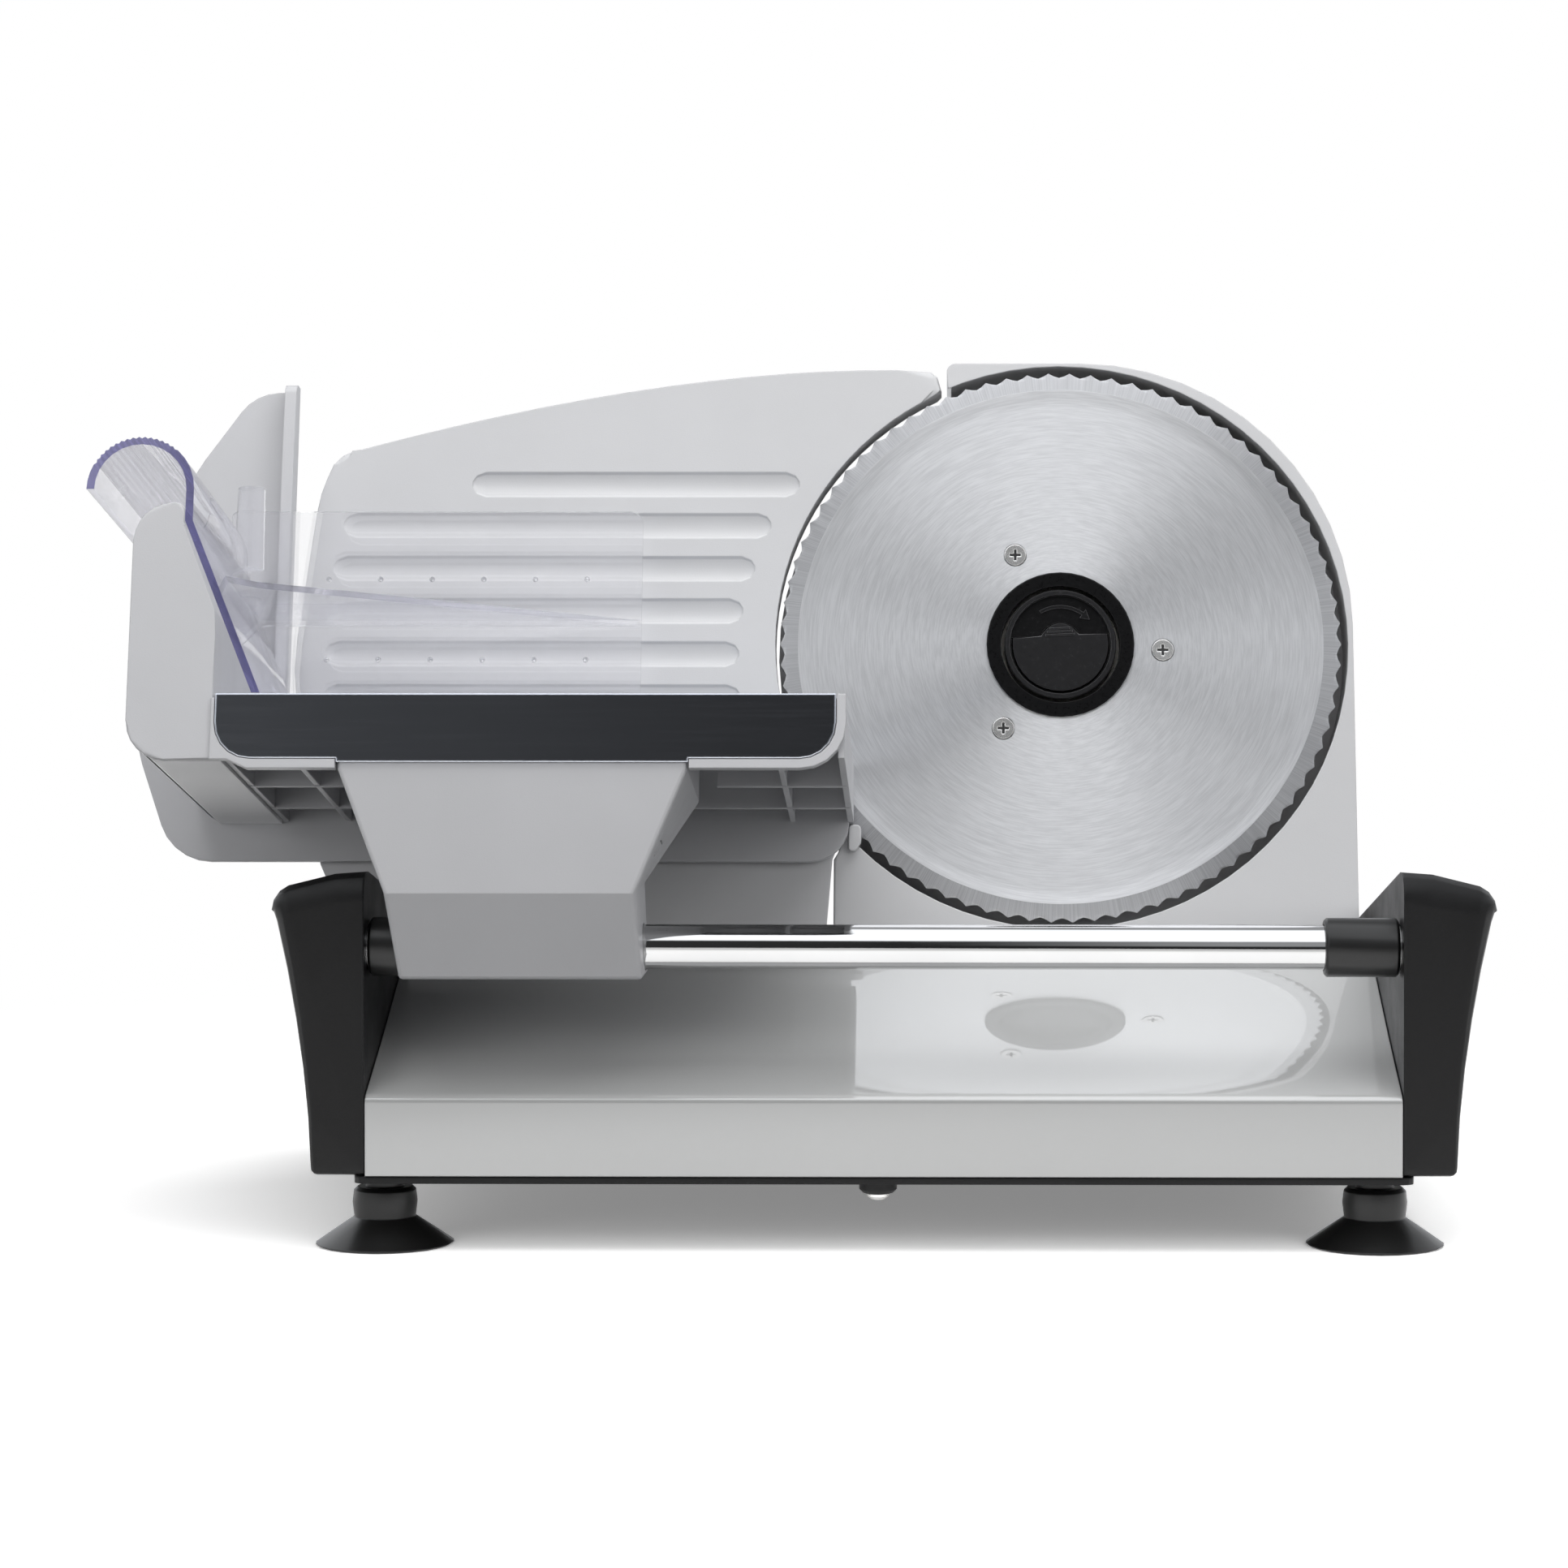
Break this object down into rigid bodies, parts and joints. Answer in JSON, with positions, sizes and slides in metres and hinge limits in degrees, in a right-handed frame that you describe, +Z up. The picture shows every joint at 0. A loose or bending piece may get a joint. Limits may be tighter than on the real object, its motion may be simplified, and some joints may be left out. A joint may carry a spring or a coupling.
{
  "type": "electric food slicer",
  "caption": "Electric food slicer with a leaning toothed round blade, a sliding food carriage on a rod, a clear food pusher and an adjustable thickness plate.",
  "frame": {"origin": "middle of the overall box at the level of the feet's undersides", "axes": "+Z up, front towards -Y, +X to the right as seen from the front; the blade leans back 13 degrees"},
  "size_m": [0.4436, 0.2448, 0.2823],
  "materials": {
    "grey_paint": "silver-grey, semi-gloss",
    "grey_plastic": "satin grey moulding",
    "black_plastic": "satin",
    "black_rubber": "satin",
    "chrome": "polished",
    "brushed_steel": "brushed in circles",
    "polished_steel": "polished",
    "zinc": "zinc plated",
    "white_nylon": "satin",
    "laminations": "varnished laminations",
    "copper": "wound copper",
    "brass": "satin",
    "clear_plastic": "clear moulding"
  },
  "bodies": {
    "stand": {"base_shell": "grey_paint", "bottom_plate": "black_plastic", "floor_screw": "zinc", "left_end_cap": "black_plastic", "right_end_cap": "black_plastic", "slide_rod": "chrome", "left_rod_buffer": "black_rubber", "right_rod_buffer": "black_rubber", "suction_foot_front_left": "black_rubber", "suction_foot_front_right": "black_rubber", "suction_foot_back_left": "black_rubber", "suction_foot_back_right": "black_rubber", "motor_housing": "grey_paint", "rear_cover": "grey_paint", "cover_screw_1": "zinc", "cover_screw_2": "zinc", "cover_screw_3": "zinc", "cover_screw_4": "zinc", "blade_spindle": "zinc", "gear_bracket": "zinc", "motor_stator": "laminations", "motor_bearing_left": "brass", "motor_bearing_right": "brass", "switch_bezel": "black_plastic", "cord_gland": "black_rubber", "thickness_bracket": "black_plastic"},
    "blade_unit": {"blade": "brushed_steel", "blade_screw_1": "zinc", "blade_screw_2": "zinc", "blade_screw_3": "zinc", "blade_gear": "white_nylon", "hub_ring": "black_plastic"},
    "lock": {"lock_disc": "black_plastic", "press_spring": "zinc"},
    "press_button": {"press_tab": "black_plastic"},
    "idler": {"pinion": "zinc", "worm_wheel": "white_nylon", "idler_shaft": "zinc"},
    "rotor": {"motor_shaft": "zinc", "worm": "zinc", "armature": "copper", "motor_fan": "black_plastic"},
    "thickness": {"thickness_plate": "grey_paint", "drive_nut": "brass", "guide_pin_left": "zinc", "guide_pin_right": "zinc"},
    "knob": {"thickness_knob": "black_plastic", "drive_screw": "zinc"},
    "carriage": {"carriage_frame": "grey_plastic", "tray_plate": "polished_steel", "carriage_arm": "grey_plastic", "arm_bush_left": "white_nylon", "arm_bush_right": "white_nylon", "arm_screw_left": "zinc", "arm_screw_right": "zinc"},
    "pusher": {"food_pusher": "clear_plastic"},
    "rocker": {"switch_rocker": "black_plastic"}
  },
  "joints": [
    {"name": "blade_spin", "type": "hinge", "parent": "stand", "child": "blade_unit", "pos_m": [0.08979, 0.01863, 0.1865], "axis": [0, 0.9744, -0.225], "continuous": true},
    {"name": "lock_turn", "type": "hinge", "parent": "blade_unit", "child": "lock", "pos_m": [0.08979, 0.01863, 0.1865], "axis": [0, 0.9744, -0.225], "range_deg": [0, 90]},
    {"name": "press_slide", "type": "slide", "parent": "lock", "child": "press_button", "axis": [0, 0.9744, -0.225], "range_m": [0, 0.0012], "stiffness_N_per_m": 400, "springref_m": -0.0006},
    {"name": "idler_spin", "type": "hinge", "parent": "stand", "child": "idler", "pos_m": [0.08979, 0.00581, 0.13096], "axis": [0, 0.9744, -0.225], "continuous": true},
    {"name": "motor_spin", "type": "hinge", "parent": "stand", "child": "rotor", "pos_m": [0.00149, 0.06623, 0.1437], "axis": [1, 0, 0], "continuous": true},
    {"name": "knob_turn", "type": "hinge", "parent": "stand", "child": "knob", "pos_m": [-0.07851, 0.00334, 0.12024], "axis": [0, 0.9744, -0.225], "range_deg": [0, 300]},
    {"name": "thickness_slide", "type": "slide", "parent": "stand", "child": "thickness", "axis": [0, 0.9744, -0.225], "range_m": [0, 0.015]},
    {"name": "carriage_slide", "type": "slide", "parent": "stand", "child": "carriage", "axis": [1, 0, 0], "range_m": [0, 0.208]},
    {"name": "pusher_slide", "type": "slide", "parent": "carriage", "child": "pusher", "axis": [0, 0.9744, -0.225], "range_m": [-0.095, 0.004]},
    {"name": "switch_rock", "type": "hinge", "parent": "stand", "child": "rocker", "pos_m": [0.04149, 0.09455, 0.20592], "axis": [1, 0, 0], "range_deg": [-18, 0]}
  ],
  "couplings": [
    {"joint": "idler_spin", "follows": "blade_spin", "ratio": -5.3333},
    {"joint": "motor_spin", "follows": "blade_spin", "ratio": 128},
    {"joint": "knob_turn", "follows": "thickness_slide", "rad_per_m": 349.06}
  ]
}
